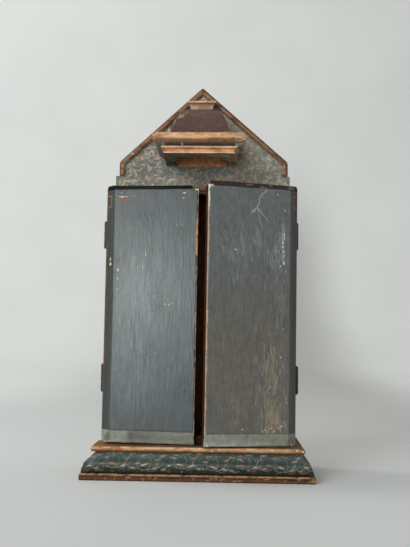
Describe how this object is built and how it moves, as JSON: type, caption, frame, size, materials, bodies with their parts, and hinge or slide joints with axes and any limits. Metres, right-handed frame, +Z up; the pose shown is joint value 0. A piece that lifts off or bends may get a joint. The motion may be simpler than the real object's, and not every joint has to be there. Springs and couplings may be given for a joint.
{
  "type": "portable altar",
  "caption": "Portable altar: a shallow painted cupboard with hinged doors on a moulded base, under a gabled board with a small canopy.",
  "frame": {"origin": "centre of the base's underside", "axes": "+Z up, the front and its doors look along -Y, +X to the right seen from the front"},
  "size_m": [0.2248, 0.0918, 0.4102],
  "materials": {
    "door_paint": "dark blue-black gloss paint, crazed and worn at the edges",
    "case_paint": "dark blue-black paint worn to brown wood at the corners",
    "teal_ground": "matt grey-teal paint with worn gilt tendrils",
    "red_brown": "dark red-brown paint",
    "gilding": "worn gilding over red-brown ground",
    "worn_border": "worn ochre and brown gilding",
    "bare_wood": "old bare wood, dull brown",
    "iron": "dark rusted iron"
  },
  "bodies": {
    "cabinet": {"base_foot": "gilding", "base_moulding": "teal_ground", "base_ledge": "gilding", "case_left_side": "case_paint", "case_right_side": "case_paint", "case_floor": "bare_wood", "case_top": "bare_wood", "back_board": "teal_ground", "gable_border_left": "worn_border", "gable_border_right": "worn_border", "canopy_soffit": "gilding", "canopy_cornice": "gilding", "canopy_roof": "red_brown", "canopy_cap": "gilding", "left_upper_hinge_case_leaf": "iron", "left_upper_hinge_pin": "iron", "left_lower_hinge_case_leaf": "iron", "left_lower_hinge_pin": "iron", "right_upper_hinge_case_leaf": "iron", "right_upper_hinge_pin": "iron", "right_lower_hinge_case_leaf": "iron", "right_lower_hinge_pin": "iron"},
    "left_door": {"left_door": "door_paint", "left_upper_hinge_door_leaf": "iron", "left_lower_hinge_door_leaf": "iron"},
    "right_door": {"right_door": "door_paint", "right_upper_hinge_door_leaf": "iron", "right_lower_hinge_door_leaf": "iron"}
  },
  "joints": [
    {"name": "left_door_hinge", "type": "hinge", "parent": "cabinet", "child": "left_door", "pos_m": [-0.097, -0.014, 0.167], "axis": [0, 0, -1], "range_deg": [-1.5, 173.5]},
    {"name": "right_door_hinge", "type": "hinge", "parent": "cabinet", "child": "right_door", "pos_m": [0.097, -0.014, 0.167], "axis": [0, 0, 1], "range_deg": [-12, 163]}
  ]
}
